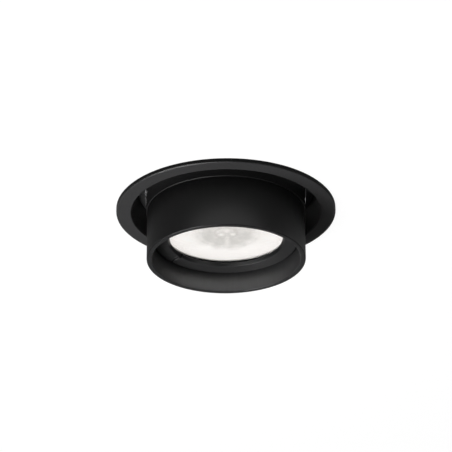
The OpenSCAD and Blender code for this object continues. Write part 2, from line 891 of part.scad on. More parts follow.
// Keyhole for one pin: an entry hole, and a slot along the arc that the pin turns through
module keyhole() {
  rotate([0, 0, -lamp_turn]) translate([0, pin_pitch / 2, 0]) cylinder(r = entry_r, h = holder_face + 1);
  translate([0, pin_pitch / 2, 0]) cylinder(r = slot_r, h = holder_face + 1);
  rotate([0, 0, 90 - lamp_turn])
    rotate_extrude(angle = lamp_turn)
      translate([pin_pitch / 2 - slot_r, 0]) square([2 * slot_r, holder_face + 1]);
}

module lampholder() {
  color(white)
    difference() {
      translate([0, 0, holder_z]) rounded_block(holder_l, holder_w, holder_h, holder_corner);
      translate([0, 0, holder_z + holder_face])
        difference() {
          cylinder(r = cavity_r, h = cavity_h);
          translate([0, 0, -1])
            cylinder(r = pin_pitch / 2 - entry_r - holder_gap, h = cavity_h + 2);
        }
      both_sides() {
        translate([0, 0, holder_z - 0.5]) keyhole();
        translate([holder_screw_x, 0, holder_z - 1]) cylinder(r = screw_r, h = holder_h + 2);
        translate([holder_screw_x, 0, holder_z - 1]) cylinder(r = sink_r, h = sink_h + 1);
      }
      for (s = [-1, 1])
        translate([s * lead_x, holder_w / 2 - lead_sink - lead_out / 2, lead_z])
          rotate([-90, 0, 0]) cylinder(r = lead_r, h = lead_sink + lead_out);
    }
}

module strap_profile() {
  polygon([
    [strap_x, strap_z0], [strap_x + strap_t, strap_z0],
    [strap_x + strap_t, box_z - strap_bend], [strap_x + strap_t - strap_bend, box_z],
    [-strap_x - strap_t + strap_bend, box_z], [-strap_x - strap_t, box_z - strap_bend],
    [-strap_x - strap_t, strap_z0], [-strap_x, strap_z0],
    [-strap_x, holder_top - inner_bend], [-strap_x + inner_bend, holder_top],
    [strap_x - inner_bend, holder_top], [strap_x, holder_top - inner_bend],
  ]);
}

module holder_bracket() {
  color(steel)
    difference() {
      translate([0, strap_w / 2, 0]) rotate([90, 0, 0]) linear_extrude(strap_w) strap_profile();
      both_sides() {
        translate([0, 0, strap_screw_z]) bar_x(screw_r, strap_x - 1, strap_x + strap_t + 1);
        translate([holder_screw_x, 0, holder_top - 1]) cylinder(r = screw_r, h = strap_t + 2);
        translate([rivet_x, 0, holder_top - 1]) cylinder(r = rivet_r, h = strap_t + 2);
      }
    }
}

module bracket_screws() {
  x = strap_x + strap_t;
  color(steel)
    both_sides()
      translate([0, 0, strap_screw_z]) {
        difference() {
          bar_x(screw_head_r, x, x + screw_head_t);
          translate([x + screw_head_t, 0, 0])
            cube([2 * slot_deep, screw_slot, 1.5 * screw_head_r], center = true);
        }
        bar_x(screw_r, neck_in - screw_end, x + eps);
      }
}

module holder_screws() {
  color(steel)
    both_sides()
      translate([holder_screw_x, 0, 0]) {
        translate([0, 0, holder_z + sink_h - holder_screw_head_t])
          cylinder(r = holder_screw_head_r, h = holder_screw_head_t);
        translate([0, 0, holder_z + sink_h - eps])
          cylinder(r = screw_r, h = box_z - holder_z - sink_h + eps);
      }
}

// Two leads that turn up out of the lampholder into the terminal box
module holder_leads() {
  color([0.85, 0.85, 0.82])
    for (s = [-1, 1])
      translate([s * lead_x, 0, 0]) {
        translate([0, holder_w / 2 - lead_sink, lead_z])
          rotate([-90, 0, 0]) cylinder(r = lead_r, h = lead_out + lead_sink);
        translate([0, lead_y - lead_bend, lead_z + lead_bend])
          rotate([90, 0, 90])
            rotate([0, 0, -90]) rotate_extrude(angle = 90) translate([lead_bend, 0]) circle(r = lead_r);
        translate([0, lead_y, lead_z + lead_bend])
          cylinder(r = lead_r, h = box_z + box_wall + lead_tail - lead_z - lead_bend);
      }
}

// ---- Terminal box on the strap, with its cover, terminals and cable gland

module grommet_shape(r, h) {
  for (s = [-1, 1]) translate([s * lead_x, 0, 0]) cylinder(r = r, h = h);
  translate([-lead_x, -r, 0]) cube([2 * lead_x, 2 * r, h]);
}

module lead_grommet() {
  color(rubber)
    translate([0, lead_y, box_z])
      difference() {
        union() {
          grommet_shape(grommet_r, box_wall);
          translate([0, 0, -grommet_lip]) grommet_shape(grommet_lip_r, grommet_lip);
        }
        for (s = [-1, 1])
          translate([s * lead_x, 0, -grommet_lip - 1])
            cylinder(r = lead_r, h = box_wall + grommet_lip + 2);
      }
}

module terminal_box() {
  color([0.16, 0.16, 0.17])
    difference() {
      union() {
        difference() {
          translate([0, 0, box_z]) rounded_block(box_l, box_w, box_h, box_corner);
          translate([0, 0, box_z + box_wall])
            rounded_block(box_l - 2 * box_wall, box_w - 2 * box_wall, box_h, box_corner - box_wall);
        }
        for (s = [-1, 1])
          translate([s * cover_screw_x, s * cover_screw_y, box_z])
            cylinder(r = cover_boss_r, h = box_h);
      }
      for (s = [-1, 1])
        translate([s * cover_screw_x, s * cover_screw_y, box_top - cover_screw_l - 1])
          cylinder(r = cover_screw_r, h = cover_screw_l + 2);
      both_sides() translate([rivet_x, 0, box_z - 1]) cylinder(r = rivet_r, h = box_wall + 2);
      translate([0, lead_y, box_z - 1]) grommet_shape(grommet_r, box_wall + 2);
      translate([0, 0, gland_z]) bar_x(gland_r, gland_x - box_wall - 1, gland_x + 1);
    }
}

module box_rivets() {
  color(steel)
    both_sides()
      translate([rivet_x, 0, 0]) {
        translate([0, 0, holder_top - rivet_head_t]) cylinder(r = rivet_head_r, h = rivet_head_t);
        translate([0, 0, holder_top - eps]) cylinder(r = rivet_r, h = strap_t + box_wall + 2 * eps);
        translate([0, 0, box_z + box_wall]) cylinder(r = rivet_head_r, h = rivet_tail_t);
      }
}

module terminal_block() {
  color(white)
    translate([-block_shift, 0, box_z + box_wall])
      difference() {
        translate([0, 0, block_h / 2]) cube([block_l, block_w, block_h], center = true);
        for (i = [-1 : 1])
          translate([i * block_pitch, 0, 0]) {
            translate([0, 0, block_h - block_screw_deep])
              cylinder(r = block_screw_r, h = block_screw_deep + 1);
            translate([0, 0, block_wire_z]) bar_y(block_wire_r, block_w + 2);
          }
        for (i = [-0.5, 0.5])
          translate([i * block_pitch, 0, block_h])
            cube([block_slit, block_w + 2, 2 * block_slit_deep], center = true);
      }
}

module terminal_cover() {
  color([0.16, 0.16, 0.17])
    difference() {
      translate([0, 0, box_top]) rounded_block(box_l, box_w, cover_t, box_corner);
      for (s = [-1, 1])
        translate([s * cover_screw_x, s * cover_screw_y, box_top - 1])
          cylinder(r = cover_screw_r + 0.3, h = cover_t + 2);
      for (i = [-2 : 2])
        translate([i * rib_pitch, 0, box_top + cover_t])
          cube([rib_w, box_w - 2 * rib_end, 2 * rib_deep], center = true);
    }
}

module cover_screws() {
  color(steel)
    for (s = [-1, 1])
      translate([s * cover_screw_x, s * cover_screw_y, 0]) {
        translate([0, 0, box_top + cover_t])
          difference() {
            cylinder(r = cover_head_r, h = cover_head_t);
            translate([0, 0, cover_head_t])
              cube([1.4 * cover_head_r, screw_slot, 2 * slot_deep], center = true);
          }
        translate([0, 0, box_top - cover_screw_l])
          cylinder(r = cover_screw_r, h = cover_screw_l + cover_t + eps);
      }
}

module gland_body() {
  color(rubber)
    translate([0, 0, gland_z])
      difference() {
        union() {
          bar_x(gland_r, gland_x - box_wall - gland_tail, gland_end);
          hexagon(gland_x, gland_flange);
        }
        bar_x(gland_in, gland_x - box_wall - gland_tail - 1, gland_end + 1);
      }
}

// Hexagon along X round the gland's axis
module hexagon(x, l) {
  translate([x, 0, 0]) rotate([0, 90, 0]) cylinder(r = gland_hex, h = l, $fn = 6);
}

// Rubber bush that grips the supply cable
module gland_seal() {
  color([0.3, 0.3, 0.3])
    translate([0, 0, gland_z])
      difference() {
        bar_x(gland_in, gland_x + gland_seat, gland_end);
        bar_x(gland_bore_r, gland_x, gland_end + 1);
      }
}

module gland_nut() {
  x0 = gland_x + gland_flange + nut_gap;
  x1 = gland_end - gland_dome;
  color(rubber)
    translate([0, 0, gland_z])
      difference() {
        union() {
          hexagon(x0, x1 - x0);
          translate([x1, 0, 0])
            rotate([0, 90, 0])
              cylinder(r1 = gland_r + nut_shoulder, r2 = gland_r, h = 2 * gland_dome);
        }
        bar_x(gland_r, x0 - 1, gland_end);
        bar_x(gland_bore_r + nut_lip, gland_end - 1, gland_end + gland_dome + 1);
      }
}

trim_ring();
flange_gasket();
keeper_ring();
clip_pins();
clip_spring_stops();
clip_arm_right();
clip_foot_right();
clip_spring_right();
clip_arm_left();
clip_foot_left();
clip_spring_left();
swivel_ring();
friction_washers();
head_body();
pivot_screws();
front_sleeve();
sleeve_seal();
front_glass();
glass_gasket();
holder_bracket();
bracket_screws();
lampholder();
holder_screws();
holder_leads();
lead_grommet();
terminal_box();
box_rivets();
terminal_block();
terminal_cover();
cover_screws();
gland_body();
gland_seal();
gland_nut();
retaining_ring();
lamp_shell();
lamp_lens();
lamp_reflector();
led_module();
lamp_base();
lamp_pins();
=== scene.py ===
import json
import math

import bmesh
import bpy
from mathutils import Matrix, Vector


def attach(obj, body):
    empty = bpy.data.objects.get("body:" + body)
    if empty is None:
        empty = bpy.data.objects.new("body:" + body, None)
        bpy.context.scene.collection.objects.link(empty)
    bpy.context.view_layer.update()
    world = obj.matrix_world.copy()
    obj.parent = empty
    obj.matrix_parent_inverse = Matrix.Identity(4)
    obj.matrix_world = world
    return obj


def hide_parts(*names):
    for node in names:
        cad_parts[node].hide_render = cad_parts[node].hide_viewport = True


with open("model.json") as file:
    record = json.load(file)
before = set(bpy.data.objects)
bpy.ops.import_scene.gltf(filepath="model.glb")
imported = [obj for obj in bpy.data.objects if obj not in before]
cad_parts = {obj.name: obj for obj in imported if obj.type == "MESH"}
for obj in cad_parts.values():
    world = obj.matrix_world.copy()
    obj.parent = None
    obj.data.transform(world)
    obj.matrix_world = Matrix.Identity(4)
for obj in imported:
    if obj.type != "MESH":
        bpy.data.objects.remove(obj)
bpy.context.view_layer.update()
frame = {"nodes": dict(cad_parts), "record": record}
scene = bpy.context.scene
NODES = frame["nodes"]
MM = 0.001

# ------------------------------------------------------------------ camera

# The photograph's camera, fitted to the ellipses of the flange, its mouth, the sleeve and the ring.
EYE_PITCH = math.radians(26.55)
EYE_ROLL = math.radians(0.4)
EYE_DISTANCE = 0.8758
EYE_LENS = 169.75
LOOK_AT = Vector((0.0, 0.00294, -0.00588))

cam_data = bpy.data.cameras.new("eye")
cam_data.lens = EYE_LENS
cam_data.sensor_width = 36.0
cam_data.clip_start, cam_data.clip_end = 0.01, 50.0
eye = bpy.data.objects.new("eye", cam_data)
scene.collection.objects.link(eye)
sight = Vector((0, math.cos(EYE_PITCH), math.sin(EYE_PITCH)))
eye.location = LOOK_AT - sight * EYE_DISTANCE
eye.rotation_mode = "QUATERNION"
eye.rotation_quaternion = (
    Matrix.Rotation(EYE_ROLL, 4, sight).to_quaternion() @ sight.to_track_quat("-Z", "Y")
)
scene.camera = eye

# ------------------------------------------------------------------ node materials

# Sockets of a Mix node that mixes colours; several share one name.
MIX_FACTOR, MIX_A, MIX_B, MIX_COLOUR = 0, 6, 7, 2


def math_node(tree, operation, *values):
    """Result of a math node. Each value is a number or a socket."""
    n = tree.nodes.new("ShaderNodeMath")
    n.operation = operation
    for socket, value in zip(n.inputs, values):
        if isinstance(value, (int, float)):
            socket.default_value = value
        else:
            tree.links.new(value, socket)
    return n.outputs[0]


class Shader:
    """A node material being built: a Principled shader and helpers for what feeds it."""

    def __init__(self, name, base, rough, metal=0.0, spec=0.5):
        self.mat = bpy.data.materials.new(name)
        self.mat.use_nodes = True
        self.tree = self.mat.node_tree
        self.bsdf = self.tree.nodes["Principled BSDF"]
        self.set(self.bsdf, "Base Color", (*base, 1.0))
        self.set(self.bsdf, "Roughness", rough)
        self.set(self.bsdf, "Metallic", metal)
        self.set(self.bsdf, "Specular IOR Level", spec)
        self.base, self.rough = base, rough
        self.coords = self.node("ShaderNodeTexCoord").outputs["Object"]

    def node(self, kind, **props):
        n = self.tree.nodes.new(kind)
        for key, value in props.items():
            setattr(n, key, value)
        return n

    def set(self, node, socket, value):
        node.inputs[socket].default_value = value

    def link(self, a, b):
        self.tree.links.new(a, b)

    def noise(self, scale, detail=3.0, rough=0.5, stretch=(1, 1, 1)):
        """Noise with scale cells in a metre; where stretch is small, the cells are long."""
        mapping = self.node("ShaderNodeMapping")
        self.set(mapping, "Scale", stretch)
        self.link(self.coords, mapping.inputs["Vector"])
        n = self.node("ShaderNodeTexNoise")
        self.set(n, "Scale", scale)
        self.set(n, "Detail", detail)
        self.set(n, "Roughness", rough)
        self.link(mapping.outputs["Vector"], n.inputs["Vector"])
        return n.outputs["Fac"]

    def ramp(self, source, low, high, lo_at=0.3, hi_at=0.7):
        """From low to high, while source goes from lo_at to hi_at."""
        n = self.node("ShaderNodeMapRange")
        for key, value in (("From Min", lo_at), ("From Max", hi_at),
                           ("To Min", low), ("To Max", high)):
            self.set(n, key, value)
        self.link(source, n.inputs["Value"])
        return n.outputs["Result"]

    def mix(self, factor, a, b):
        """Colour a where factor is 0, and b where it is 1. Each is a colour or a socket."""
        n = self.node("ShaderNodeMix", data_type="RGBA")
        self.link(factor, n.inputs[MIX_FACTOR])
        for socket, value in ((MIX_A, a), (MIX_B, b)):
            if isinstance(value, tuple):
                n.inputs[socket].default_value = (*value, 1.0)
            else:
                self.link(value, n.inputs[socket])
        return n.outputs[MIX_COLOUR]

    def math(self, operation, *values):
        return math_node(self.tree, operation, *values)

    def axis(self, name):
        n = self.node("ShaderNodeSeparateXYZ")
        self.link(self.coords, n.inputs[0])
        return n.outputs[name]

    def radius(self):
        """Distance from the Z axis."""
        return self.hypot(self.axis("X"), self.axis("Y"))

    def hypot(self, x, y):
        squares = [self.math("MULTIPLY", value, value) for value in (x, y)]
        return self.math("SQRT", self.math("ADD", *squares))

    def scaled(self, colour, factor):
        n = self.node("ShaderNodeVectorMath", operation="SCALE")
        self.link(colour, n.inputs[0])
        self.link(factor, n.inputs["Scale"])
        return n.outputs[0]

    def colour(self, source):
        """The surface's colour comes from source."""
        self.link(source, self.bsdf.inputs["Base Color"])

    def tint(self, source, spread=0.12):
        """Base colour that varies with source, by spread to each side."""
        low = tuple(c * (1 - spread) for c in self.base)
        high = tuple(min(1.0, c * (1 + spread)) for c in self.base)
        self.colour(self.mix(source, low, high))

    def roughness(self, source):
        self.link(source, self.bsdf.inputs["Roughness"])

    def gloss(self, source, spread):
        """Roughness that varies with source, by spread to each side."""
        self.roughness(self.ramp(source, self.rough - spread, self.rough + spread))

    def bump(self, source, height, strength=1.0, bevel=0.0):
        """Bump of that height in metres, over edges rounded by bevel in metres."""
        n = self.node("ShaderNodeBump")
        self.set(n, "Strength", strength)
        self.set(n, "Distance", height)
        self.link(source, n.inputs["Height"])
        if bevel:
            b = self.node("ShaderNodeBevel", samples=4)
            self.set(b, "Radius", bevel)
            self.link(b.outputs["Normal"], n.inputs["Normal"])
        self.link(n.outputs["Normal"], self.bsdf.inputs["Normal"])


# Cells in a metre: the grain of a sprayed coat, and the patches in which its gloss changes.
ORANGE_PEEL, SPRAY_PATCHES = 2600, 60


def powder_coat(name, base, rough, spec, bevel=0.15 * MM):
    """Satin black coat: fine orange peel, slight changes of gloss, faint dust in the grain."""
    s = Shader(name, base, rough, spec=spec)
    grain = s.noise(ORANGE_PEEL, 2.0, 0.6)
    s.tint(grain, 0.25)
    s.gloss(s.noise(SPRAY_PATCHES, 3.0, 0.55), 0.03)
    s.bump(grain, 0.012 * MM, 0.5, bevel)
    return s.mat


def flange_coat(name, base, rough, shade_base, shade_rough, inner_r, outer_r):
    """The satin coat of the flange, grey on its face from inner_r to outer_r, and blacker in the
    recess and on the rim: painted shade, for the shade that falls there."""
    s = Shader(name, base, rough)
    grain = s.noise(ORANGE_PEEL, 2.0, 0.6)
    speckle = s.ramp(grain, 0.75, 1.25)
    radius = s.radius()
    inside = s.ramp(radius, 1.0, 0.0, inner_r - 0.5 * MM, inner_r)
    beyond = s.ramp(radius, 0.0, 1.0, outer_r - 0.1 * MM, outer_r + 0.1 * MM)
    # Painted shade: blacker in the recess and on the rim's side.
    painted_shade = s.math("MAXIMUM", inside, beyond)
    s.colour(s.scaled(s.mix(painted_shade, base, shade_base), speckle))
    wander = s.ramp(s.noise(SPRAY_PATCHES, 3.0, 0.55), -0.03, 0.03)
    s.roughness(s.math("ADD", s.ramp(inside, rough, shade_rough, 0.0, 1.0), wander))
    s.bump(grain, 0.012 * MM, 0.5, 0.15 * MM)
    return s.mat


def turned_coat(name, base, rough, lit_bore_base, bore_rough, bore_r, bore_z):
    """Coat over turned aluminium, faintly brushed along its axis. Inside bore_r, and below bore_z,
    it is greyer and smoother: the grey is painted light, over the lamp's own light in the bore.
    Above bore_z it stays blacker, painted shade in the groove."""
    s = Shader(name, base, rough)
    brushed = s.noise(900, 3.0, 0.6, (1.0, 1.0, 0.06))
    grain = s.noise(3200, 2.0, 0.6)
    past_wall = s.ramp(s.radius(), 0.0, 1.0, bore_r - 0.2 * MM, bore_r + 0.2 * MM)
    painted_groove_shade = s.ramp(s.axis("Z"), 0.0, 1.0, bore_z - 0.4 * MM, bore_z)
    # Painted light and shade: greyer in the bore, blacker in the groove above bore_z.
    outside_and_groove_shade = s.math("MAXIMUM", past_wall, painted_groove_shade)
    streaks = s.math("ADD", s.math("MULTIPLY", brushed, 0.5), s.math("MULTIPLY", grain, 0.5))
    s.colour(s.scaled(s.mix(outside_and_groove_shade, lit_bore_base, base), s.ramp(streaks, 0.85, 1.15)))
    level = s.ramp(outside_and_groove_shade, bore_rough, rough, 0.0, 1.0)
    wander = s.math("MULTIPLY", s.math("SUBTRACT", s.noise(30, 2.0), 0.5), 0.015)
    s.roughness(s.math("ADD", level, wander))
    s.bump(streaks, 0.006 * MM, 0.4, 0.12 * MM)
    return s.mat


def rolled_steel(name, base, rough, stretch=(1, 1, 1)):
    """Bare steel sheet or wire, with rolling marks along the direction of least stretch."""
    s = Shader(name, base, rough, metal=1.0)
    lines = s.noise(700, 4.0, 0.6, stretch)
    s.tint(s.noise(90, 4.0), 0.1)
    s.gloss(lines, 0.08)
    s.bump(lines, 0.004 * MM, 0.4, 0.1 * MM)
    return s.mat


def zinc_plate(name):
    """Bright zinc: bluish, slightly cloudy, with fine scuffs."""
    s = Shader(name, (0.66, 0.68, 0.71), 0.36, metal=1.0)
    clouds = s.noise(140, 5.0, 0.65)
    scuffs = s.noise(900, 3.0, 0.7, (1.0, 1.0, 0.15))
    s.colour(s.mix(s.ramp(clouds, 0.0, 1.0), (0.62, 0.64, 0.67), (0.73, 0.74, 0.75)))
    s.gloss(scuffs, 0.07)
    s.bump(scuffs, 0.002 * MM, 0.12, 0.15 * MM)
    return s.mat


def moulded(name, base, rough, grain_height=0.01 * MM):
    """Moulded plastic with a fine spark-eroded grain."""
    s = Shader(name, base, rough)
    grain = s.noise(1800, 2.0, 0.6)
    s.tint(s.noise(50, 3.0), 0.06)
    s.gloss(grain, 0.06)
    s.bump(grain, grain_height, 0.5, 0.2 * MM)
    return s.mat


def rubber(name, base, rough):
    """Soft rubber or vinyl, matt and faintly dusty."""
    s = Shader(name, base, rough, spec=0.3)
    dust = s.noise(400, 5.0, 0.7)
    s.tint(dust, 0.3)
    s.gloss(dust, 0.08)
    s.bump(dust, 0.01 * MM, 0.4)
    return s.mat


def steatite(name):
    """White fired ceramic: slightly creamy, matt, with tiny dark specks."""
    s = Shader(name, (0.86, 0.84, 0.79), 0.45)
    specks = s.ramp(s.noise(1500, 1.0), 0.0, 1.0, 0.74, 0.78)
    body = s.mix(s.noise(40, 3.0), (0.82, 0.8, 0.74), (0.9, 0.88, 0.84))
    s.colour(s.mix(specks, body, (0.5, 0.47, 0.42)))
    s.bump(s.noise(900, 4.0, 0.7), 0.02 * MM, 0.5, 0.25 * MM)
    return s.mat


def lit_lens():
    """The lamp's lens with its light on: warm white, with a greyer, cloudy middle round a small
    boss. Places and radii are in millimetres."""
    s = Shader("lit_lens", (0.3, 0.3, 0.3), 0.25)
    x, y = s.axis("X"), s.axis("Y")

    def away(cx, cy, wide=1.0, tall=1.0):
        """Distance from a place, for a spot that is wider and taller by the factors given."""
        dx = s.math("DIVIDE", s.math("SUBTRACT", x, cx * MM), wide)
        dy = s.math("DIVIDE", s.math("SUBTRACT", y, cy * MM), tall)
        return s.hypot(dx, dy)

    def ragged(distance, scale, amount, detail=3.0):
        """Distance with an uneven edge."""
        stray = s.math("SUBTRACT", s.noise(scale, detail, 0.6), 0.5)
        return s.math("ADD", distance, s.math("MULTIPLY", stray, amount * MM))

    def fade(distance, strength, solid, end):
        """From strength out to the radius solid, down to nothing at the radius end."""
        return s.ramp(distance, strength, 0.0, solid * MM, end * MM)

    radius = away(0, 0)
    rim = s.ramp(radius, 0.0, 1.0, 15 * MM, 23 * MM)
    outer = s.mix(rim, (0.99, 0.96, 0.93), (0.95, 0.91, 0.88))
    haze = fade(ragged(away(0, 2.0, 1.5, 1.0), 150, 5.0), 0.55, 9.0, 13.5)
    outer = s.mix(haze, outer, (0.8, 0.77, 0.74))

    cloudy = s.ramp(s.noise(330, 4.0, 0.65), 0.0, 1.0, 0.35, 0.68)
    inner = s.mix(cloudy, (0.6, 0.58, 0.55), (0.76, 0.73, 0.7))
    lobes = None
    for cx, cy, end in ((-7.2, 2.4, 4.0), (7.2, 2.4, 4.0), (-3.4, 8.0, 3.5), (4.0, 8.0, 3.5)):
        spot = fade(ragged(away(cx, cy, 1.0, 1.3), 200, 3), 1.0, 0.5, end)
        lobes = spot if lobes is None else s.math("MAXIMUM", lobes, spot)
    inner = s.mix(s.math("MULTIPLY", lobes, 0.55), inner, (0.54, 0.52, 0.49))
    streak = fade(ragged(away(0.4, 7.6, 1.0, 4.2), 500, 0.8), 0.6, 0.1, 1.4)
    inner = s.mix(streak, inner, (0.88, 0.85, 0.81))
    middle = fade(ragged(away(0, 0.4), 170, 5.0), 1.0, 10.0, 14.5)
    colour = s.mix(middle, outer, inner)

    boss_r = 4.6
    from_edge = s.math("SUBTRACT", ragged(radius, 600, 0.8), boss_r * MM)
    edge = fade(s.math("ABSOLUTE", from_edge), 0.5, 0.1, 0.9)
    colour = s.mix(edge, colour, (0.5, 0.47, 0.44))
    for cx, cy, end, strength in ((-2.0, 0.4, 1.6, 0.9), (2.8, 0.2, 1.5, 0.85),
                                  (0.3, -2.6, 1.7, 0.7), (0.5, 3.0, 1.1, 0.35)):
        blob = fade(ragged(away(cx, cy), 700, 0.9), strength, 0.4, end)
        colour = s.mix(blob, colour, (0.99, 0.95, 0.92))
    s.link(colour, s.bsdf.inputs["Emission Color"])
    s.set(s.bsdf, "Emission Strength", 1.07)
    s.tint(s.noise(900, 2.0), 0.1)
    return s.mat


def clear_glass():
    """Clear glass with faint smears."""
    s = Shader("clear_front_glass", (0.99, 0.992, 0.99), 0.02)
    s.set(s.bsdf, "Transmission Weight", 1.0)
    s.set(s.bsdf, "IOR", 1.5)
    s.roughness(s.ramp(s.noise(120, 4.0, 0.6), 0.0, 0.05, 0.45, 0.75))
    return s.mat


def lit_phosphor():
    """The light emitter, yellow where it doesn't glow."""
    s = Shader("lit_phosphor", (0.9, 0.75, 0.35), 0.5)
    s.tint(s.noise(300, 3.0), 0.1)
    s.set(s.bsdf, "Emission Color", (1.0, 0.93, 0.8, 1.0))
    s.set(s.bsdf, "Emission Strength", 1.0)
    return s.mat


def braid(name, base):
    """Braided sleeving: two sets of slanting strands that cross."""
    s = Shader(name, base, 0.75, spec=0.3)
    strands = []
    for slant in (1, -1):
        mapping = s.node("ShaderNodeMapping")
        s.set(mapping, "Rotation", (math.radians(40 * slant), 0, math.radians(25 * slant)))
        s.link(s.coords, mapping.inputs["Vector"])
        wave = s.node("ShaderNodeTexWave", wave_type="BANDS", bands_direction="Z")
        s.set(wave, "Scale", 480)
        s.set(wave, "Distortion", 0.6)
        s.link(mapping.outputs["Vector"], wave.inputs["Vector"])
        strands.append(wave.outputs["Fac"])
    weave = s.math("MULTIPLY", strands[0], strands[1])
    s.tint(weave, 0.18)
    s.bump(weave, 0.06 * MM, 0.8)
    return s.mat


# Where coats change: the flange's face is grey between two radii, with painted shade in the recess
# and on the rim; the sleeve's bore is greyer, painted light, inside a radius and below a height,
# and blacker above that height, painted shade in the groove.
FACE_IN, FACE_OUT = 39.3 * MM, 44.8 * MM
BORE_OUT, BORE_TOP = 31.95 * MM, -14.1 * MM

MATERIALS = {
    # The flange's coat carries painted shade in its recess and on its rim.
    "trim_black": flange_coat("satin_black_flange", (0.05, 0.05, 0.051), 0.45,
                              (0.005, 0.005, 0.0052), 0.75, FACE_IN, FACE_OUT),
    "head_black": powder_coat("satin_black_head", (0.014, 0.014, 0.0143), 0.5, 0.2, 0.04 * MM),
    # The sleeve's coat is greyer in its bore, painted light, and blacker in the groove above
    # BORE_TOP, painted shade.
    "sleeve_black": turned_coat("satin_black_sleeve", (0.007, 0.007, 0.0072), 0.36,
                                (0.034, 0.034, 0.0347), 0.32, BORE_OUT, BORE_TOP),
    # The swivel's coat is greyer than the other satin blacks: painted light, for the plate lit
    # through the gap beside the head.
    "swivel_black": powder_coat("satin_black_swivel", (0.06, 0.06, 0.061), 0.42, 0.5),
    "seal_rubber": rubber("black_silicone", (0.03, 0.03, 0.032), 0.65),
    "boot_rubber": rubber("soft_vinyl", (0.06, 0.06, 0.063), 0.5),
    "clip_steel": rolled_steel("rolled_spring_steel", (0.6, 0.6, 0.61), 0.28, (0.05, 1, 1)),
    "spring_steel": rolled_steel("drawn_wire", (0.5, 0.5, 0.52), 0.25),
    "fixings": rolled_steel("stainless_fixings", (0.6, 0.6, 0.61), 0.3),
    "strap_steel": zinc_plate("bright_zinc"),
    "holder_ceramic": steatite("steatite"),
    "box_plastic": moulded("black_nylon", (0.03, 0.03, 0.032), 0.5, 0.03 * MM),
    "gland_plastic": moulded("gland_nylon", (0.022, 0.022, 0.024), 0.42),
    "block_plastic": moulded("white_polyamide", (0.8, 0.8, 0.78), 0.4),
    "lead_sleeve": braid("glass_fibre_sleeving", (0.75, 0.74, 0.7)),
    "lamp_base": moulded("white_lamp_plastic", (0.84, 0.84, 0.82), 0.38),
    "lamp_white": moulded("white_enamel", (0.8, 0.8, 0.78), 0.4, 0.015 * MM),
    "lamp_lens": lit_lens(),
    "clear_glass": clear_glass(),
    "led": lit_phosphor(),
    "reflector": rolled_steel("metallised_reflector", (0.92, 0.92, 0.92), 0.08, (1, 1, 0.1)),
    "pin_metal": rolled_steel("nickel_plate", (0.75, 0.72, 0.66), 0.2),
}
BLACKENED = rolled_steel("blackened_screws", (0.07, 0.07, 0.072), 0.5)

for subpart in frame["record"]["subparts"]:
    name = subpart["node"]
    slots = NODES[name].data.materials
    slots.clear()
    slots.append(BLACKENED if name == "pivot_screws" else MATERIALS[subpart["material_slot"]])

# ------------------------------------------------------------------ mesh helpers


# The angle in degrees past which an edge stays hard, or is bevelled
HARD_EDGE = 35.0


def piece(name, bm, body, slot, node, sharp=HARD_EDGE):
    """A finished piece from bm, which rides on body and stands for node. Edges past sharp
    degrees stay hard."""
    mesh = bpy.data.meshes.new(name)
    bmesh.ops.recalc_face_normals(bm, faces=bm.faces)
    bm.to_mesh(mesh)
    bm.free()
    for p in mesh.polygons:
        p.use_smooth = True
    mesh.set_sharp_from_angle(angle=math.radians(sharp))
    o = bpy.data.objects.new(name, mesh)
    scene.collection.objects.link(o)
    mesh.materials.append(MATERIALS[slot])
    w = o.modifiers.new("weighted", "WEIGHTED_NORMAL")
    w.keep_sharp = True
    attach(o, body)
    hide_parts(node)


def rounded(points, steps=4):
    """Corners (x, y, radius) of a closed outline to points, with each radius as an arc."""
    out = []
    count = len(points)
    for i, (x, y, r) in enumerate(points):
        p = Vector((x, y))
        if r <= 0:
            out.append(p)
            continue
        a = Vector(points[i - 1][:2]) - p
        b = Vector(points[(i + 1) % count][:2]) - p
        half = a.angle(b) / 2
        cut = r / math.tan(half)
        a.normalize()
        b.normalize()
        centre = p + (a + b).normalized() * (r / math.sin(half))
        start, end = p + a * cut - centre, p + b * cut - centre
        turn = start.angle_signed(end)
        for k in range(steps + 1):
            v = start.copy()
            v.rotate(Matrix.Rotation(-turn * k / steps, 2))
            out.append(centre + v)
    return out


def revolve(bm, outline, segments, place=None, start=0.0, turn=360.0):
    """Turns a closed outline of (radius, height) in millimetres about the Z axis, all round or
    through turn degrees with closed ends, and then puts it in its place."""
    rings = []
    whole = turn >= 360
    place = place or Matrix()
    for k in range(segments + (0 if whole else 1)):
        a = math.radians(start + turn * k / segments)
        section = [Vector((r * math.cos(a), r * math.sin(a), z)) * MM for r, z in outline]
        rings.append([bm.verts.new(place @ p) for p in section])
    count = len(outline)
    for k in range(segments):
        near, far = rings[k], rings[(k + 1) % len(rings)]
        for i in range(count):
            j = (i + 1) % count
            bm.faces.new((near[i], far[i], far[j], near[j]))
    if not whole:
        bm.faces.new(rings[0])
        bm.faces.new(rings[-1])


def absorb(bm, other):
    """Adds other's faces to bm, and frees other."""
    mesh = bpy.data.meshes.new("other")
    other.to_mesh(mesh)
    other.free()
    bm.from_mesh(mesh)
    bpy.data.meshes.remove(mesh)


